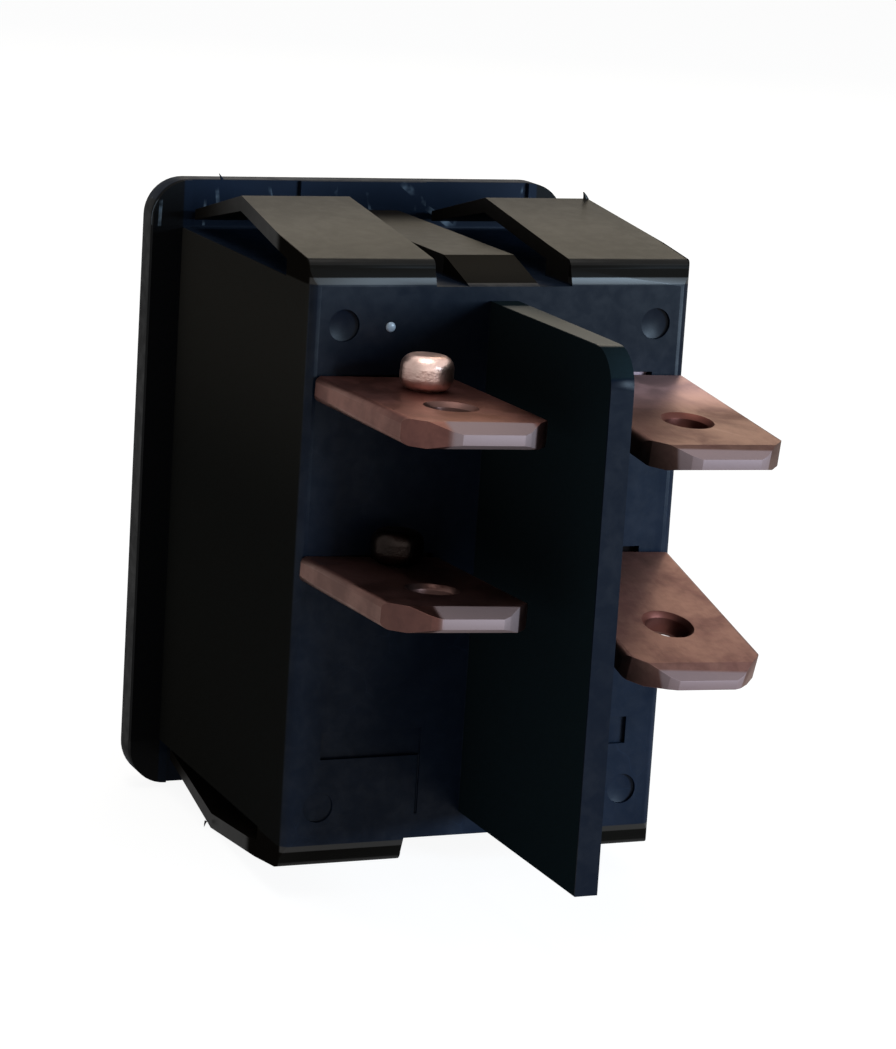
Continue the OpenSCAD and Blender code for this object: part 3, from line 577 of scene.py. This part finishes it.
def ease_edges(source, name, finish, width, angle):
    """A copy of a solid, its edges sharper than an angle in degrees eased by a width in
    millimetres, as a mould or a press leaves them."""
    mesh = bmesh.new()
    mesh.from_mesh(nodes[source].data)
    bmesh.ops.remove_doubles(mesh, verts=mesh.verts, dist=MERGE)
    bmesh.ops.dissolve_limit(mesh, angle_limit=FLAT_ANGLE, verts=mesh.verts,
                             edges=mesh.edges)
    sharp = [edge for edge in mesh.edges
             if edge.is_manifold and edge.calc_face_angle(0.0) > math.radians(angle)]
    bmesh.ops.bevel(mesh, geom=sharp, offset=width * MM, offset_type="OFFSET",
                    affect="EDGES", segments=2, profile=0.5, material=-1,
                    clamp_overlap=True)
    piece = place_piece(mesh, name, "switch_body", finish)
    piece.data.shade_smooth()
    piece.data.set_sharp_from_angle(angle=SHARP_ANGLE)
    level = piece.modifiers.new("even_normals", "WEIGHTED_NORMAL")
    level.mode = "FACE_AREA"
    level.weight = 50
    level.keep_sharp = True
    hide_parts(source)


ease_edges("housing", "housing_moulding", HOUSING_NYLON,
           width=0.07, angle=28.0)
for side_name, copper in (("left", LEFT_COPPER), ("right", RIGHT_COPPER)):
    for row in ("upper", "middle"):
        blade = row + "_terminal_" + side_name
        ease_edges(blade, blade + "_blade", copper,
                   width=0.09, angle=12.0)


# ---- rocker marks --------------------------------------------------------

def white_print():
    """Pad-printed white paint, thin and slightly uneven."""
    material, tree, shader, place = start_material("mark_white")
    clouds = place_group(tree, MOTTLE, place, Scale=1800.0, Low=0.3, High=0.7)
    tree.links.new(blend_colours(tree, clouds, (0.74, 0.74, 0.72, 1.0),
                                 (0.60, 0.60, 0.58, 1.0)),
                   shader.inputs["Base Color"])
    tree.links.new(fade(tree, clouds, 0.45, 0.65), shader.inputs["Roughness"])
    add_bump(tree, shader, place_group(tree, GRAIN, place, Scale=5000.0), 0.008 * MM, 0.5)
    return material


WHITE_PRINT = white_print()
ROCKER_REACH = 7.9 * MM      # from the pivot to the rocker's rounded ends
ROCKER_END = 3.7 * MM        # how far the ends of its face stand in front of the pivot
ROCKER_MIDDLE = 2.7 * MM     # the same at the middle of its hollowed face
PIVOT_BACK = 0.4 * MM        # how far the pivot lies behind the bezel's back
OFF_TURN = math.radians(-12.0)
PRINT_LIFT = 0.012 * MM      # how far the print stands out of the face
MARK_PLACE = 4.1 * MM        # from the pivot to the middle of each mark
BAR_WIDTH, BAR_LENGTH = 0.5 * MM, 2.6 * MM
RING_RADIUS = 1.3 * MM
RING_BORE = 0.65             # the ring's inner radius as a share of its outer one
UPRIGHT = Matrix.Rotation(math.radians(90.0), 4, "X")


def new_verts(made):
    """The corners among what an operator made."""
    return [item for item in made["geom"] if isinstance(item, bmesh.types.BMVert)]


def lay_on_rocker(mesh, name, up):
    """Thickens a flat outline and wraps it on the rocker's hollowed face, turned to off."""
    bmesh.ops.translate(mesh, verts=mesh.verts, vec=(0.0, -PRINT_LIFT, up))
    made = bmesh.ops.extrude_face_region(mesh, geom=mesh.faces[:] + mesh.edges[:])
    bmesh.ops.translate(mesh, verts=new_verts(made), vec=(0.0, 3.0 * PRINT_LIFT, 0.0))
    half_chord = math.sqrt(ROCKER_REACH ** 2 - ROCKER_END ** 2)
    sag = ROCKER_END - ROCKER_MIDDLE
    hollow = (half_chord ** 2 + sag ** 2) / (2.0 * sag)
    for vert in mesh.verts:
        drop = hollow - math.sqrt(hollow ** 2 - vert.co.z ** 2)
        vert.co.y = vert.co.y - ROCKER_MIDDLE - drop
    bmesh.ops.rotate(mesh, verts=mesh.verts, matrix=Matrix.Rotation(OFF_TURN, 3, "X"))
    bmesh.ops.translate(mesh, verts=mesh.verts, vec=(0.0, PIVOT_BACK, 0.0))
    bmesh.ops.recalc_face_normals(mesh, faces=mesh.faces)
    place_piece(mesh, name, "rocker", WHITE_PRINT)


def on_mark():
    """The upright bar of the on mark, on the rocker's lower half."""
    mesh = bmesh.new()
    bmesh.ops.create_grid(mesh, x_segments=2, y_segments=12, size=0.5, matrix=UPRIGHT)
    bmesh.ops.scale(mesh, verts=mesh.verts, vec=(BAR_WIDTH, 1.0, BAR_LENGTH))
    lay_on_rocker(mesh, "rocker_on_mark", -MARK_PLACE)


def off_mark():
    """The ring of the off mark, on the rocker's upper half."""
    mesh = bmesh.new()
    bmesh.ops.create_circle(mesh, segments=64, radius=RING_RADIUS, matrix=UPRIGHT)
    made = bmesh.ops.extrude_edge_only(mesh, edges=mesh.edges[:])
    bmesh.ops.scale(mesh, verts=new_verts(made), vec=(RING_BORE, 1.0, RING_BORE))
    lay_on_rocker(mesh, "rocker_off_mark", MARK_PLACE)


on_mark()
off_mark()


# ---- flash and pip of the moulding -----------------------------------------

def smooth_piece(mesh, name, finish):
    """A small round-shaded piece of the housing."""
    for face in mesh.faces:
        face.smooth = True
    bmesh.ops.recalc_face_normals(mesh, faces=mesh.faces)
    place_piece(mesh, name, "switch_body", finish)


def flash_burr(name, place, aim, length, thick):
    """A torn sliver of flash, in millimetres: a small cone, bent and squeezed flat."""
    mesh = bmesh.new()
    bmesh.ops.create_cone(mesh, cap_ends=True, segments=10, radius1=thick * MM,
                          radius2=0.15 * thick * MM, depth=length * MM)
    long_edges = [edge for edge in mesh.edges if edge.calc_length() > 0.6 * length * MM]
    bmesh.ops.subdivide_edges(mesh, edges=long_edges, cuts=3)
    for vert in mesh.verts:
        rise = vert.co.z / (length * MM) + 0.5
        vert.co.x += 0.25 * length * MM * rise ** 2
        vert.co.y *= 0.45
    turn = Vector((0.0, 0.0, 1.0)).rotation_difference(Vector(aim)).to_matrix()
    bmesh.ops.rotate(mesh, verts=mesh.verts, matrix=turn)
    foot = Vector(place) + Vector(aim).normalized() * 0.4 * length
    bmesh.ops.translate(mesh, verts=mesh.verts, vec=foot * MM)
    smooth_piece(mesh, name, HOUSING_NYLON)


flash_burr("bezel_burr", (5.05, -0.25, 10.46), (0.25, 0.15, 1.0), 0.30, 0.07)
flash_burr("arm_burr", (-6.10, 4.80, 10.60), (0.15, 0.1, 1.0), 0.32, 0.13)
flash_burr("arm_nose_burr", (6.30, 4.70, -10.45), (0.5, 0.2, -1.0), 0.20, 0.08)


def pale_nylon():
    """Pale bluish nylon with a fine mottle."""
    material, tree, shader, place = start_material("pale_pip_nylon")
    clouds = place_group(tree, MOTTLE, place, Scale=4000.0, Low=0.3, High=0.7)
    tree.links.new(blend_colours(tree, clouds, (0.36, 0.42, 0.48, 1.0),
                                 (0.22, 0.26, 0.30, 1.0)),
                   shader.inputs["Base Color"])
    shader.inputs["Roughness"].default_value = 0.3
    return material


def rear_pip():
    """A small glossy pale pip on the rear face, beside the ejector mark."""
    mesh = bmesh.new()
    bmesh.ops.create_uvsphere(mesh, u_segments=24, v_segments=12, radius=0.16 * MM)
    bmesh.ops.scale(mesh, verts=mesh.verts, vec=(1.0, 0.5, 1.0))
    bmesh.ops.translate(mesh, verts=mesh.verts, vec=(3.77 * MM, 12.3 * MM, 7.65 * MM))
    smooth_piece(mesh, "rear_pip", pale_nylon())


rear_pip()


# ---- stage ---------------------------------------------------------------

FLOOR_SPAN = 0.9             # half of the floor's width
FLOOR_GAP = 0.02 * MM        # between the floor and the housing
GLOW_SHARE = 0.75            # how much of the seen floor is plain glow
GLOW_STRENGTH = 1.23
UNSEEN_LIGHT = 0.2           # the surroundings' strength as light on the object


def seen_rays(tree):
    """1 for rays that come from the camera, a reflection or through glass."""
    path = tree.nodes.new("ShaderNodeLightPath")
    return maths(tree, "MAXIMUM", path.outputs["Is Camera Ray"],
                 maths(tree, "MAXIMUM", path.outputs["Is Glossy Ray"],
                       path.outputs["Is Transmission Ray"]))


def floor_material():
    """Plain pale floor: white to the camera, with the object's soft shadow kept."""
    material, tree, shader, _ = start_material("pale_floor")
    shader.inputs["Base Color"].default_value = (0.82, 0.82, 0.82, 1.0)
    shader.inputs["Roughness"].default_value = 0.9
    shader.inputs["Specular IOR Level"].default_value = 0.0
    glow = add_node(tree, "ShaderNodeEmission", Color=(1.0, 1.0, 1.0, 1.0),
                    Strength=GLOW_STRENGTH)
    mix = tree.nodes.new("ShaderNodeMixShader")
    tree.links.new(maths(tree, "MULTIPLY", seen_rays(tree), GLOW_SHARE), mix.inputs[0])
    tree.links.new(shader.outputs[0], mix.inputs[1])
    tree.links.new(glow.outputs[0], mix.inputs[2])
    tree.links.new(mix.outputs[0], tree.nodes["Material Output"].inputs["Surface"])
    return material


def make_floor():
    """A flat floor just under the housing."""
    mesh = bmesh.new()
    bmesh.ops.create_grid(mesh, x_segments=1, y_segments=1, size=FLOOR_SPAN)
    bmesh.ops.translate(mesh, vec=(0.0, 0.0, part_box("housing")[0].z - FLOOR_GAP),
                        verts=mesh.verts)
    data = bpy.data.meshes.new("floor")
    mesh.to_mesh(data)
    mesh.free()
    floor = bpy.data.objects.new("floor", data)
    bpy.context.scene.collection.objects.link(floor)
    data.materials.append(floor_material())


def make_world():
    """Pale surroundings: white to the camera and in reflections, soft grey as light."""
    world = bpy.data.worlds.new("studio")
    bpy.context.scene.world = world
    world.use_nodes = True
    tree = world.node_tree
    background = tree.nodes["Background"]
    tree.links.new(fade(tree, seen_rays(tree), UNSEEN_LIGHT, 1.0),
                   background.inputs["Strength"])
    background.inputs["Color"].default_value = (1.0, 1.0, 1.0, 1.0)


def add_lamp(name, place, aim, size, power, colour):
    """A square area lamp at a place in millimetres, aimed at a point."""
    data = bpy.data.lights.new(name, "AREA")
    data.shape = "SQUARE"
    data.size = size * MM
    data.energy = power
    data.color = colour
    lamp = bpy.data.objects.new(name, data)
    lamp.location = Vector(place) * MM
    direction = (Vector(aim) - Vector(place)).normalized()
    lamp.rotation_euler = direction.to_track_quat("-Z", "Y").to_euler()
    bpy.context.scene.collection.objects.link(lamp)


def make_camera():
    """The camera's place, its aim and its small roll."""
    place = Vector((44.744, 112.377, 25.363)) * MM
    azimuth = math.radians(156.6)
    elevation = math.radians(12.42)
    roll = math.radians(3.59)
    back = Vector((math.sin(azimuth) * math.cos(elevation),
                   -math.cos(azimuth) * math.cos(elevation), math.sin(elevation)))
    right = (-back).cross(Vector((0.0, 0.0, 1.0))).normalized()
    above = right.cross(-back)
    x_axis = math.cos(roll) * right + math.sin(roll) * above
    y_axis = math.cos(roll) * above - math.sin(roll) * right
    turn = Matrix((x_axis, y_axis, back)).transposed().to_4x4()
    data = bpy.data.cameras.new("camera")
    data.sensor_width = 36.0
    data.lens = 122.0
    data.clip_start = 0.005
    camera = bpy.data.objects.new("camera", data)
    camera.matrix_world = Matrix.Translation(place) @ turn
    bpy.context.scene.collection.objects.link(camera)
    bpy.context.scene.camera = camera


make_floor()
make_world()
add_lamp("window", (-150.0, 210.0, 46.0), (0.0, 8.0, 0.0), 84.0, 0.95, (0.60, 0.80, 1.0))
add_lamp("far_warm", (-105.0, -213.0, 128.0), (0.0, 6.0, 9.0), 120.0, 0.11,
         (1.0, 0.85, 0.60))
add_lamp("overhead", (20.0, 20.0, 250.0), (0.0, 6.0, 0.0), 160.0, 0.20, (1.0, 0.97, 0.93))
make_camera()

scene = bpy.context.scene
scene.view_settings.view_transform = "Standard"
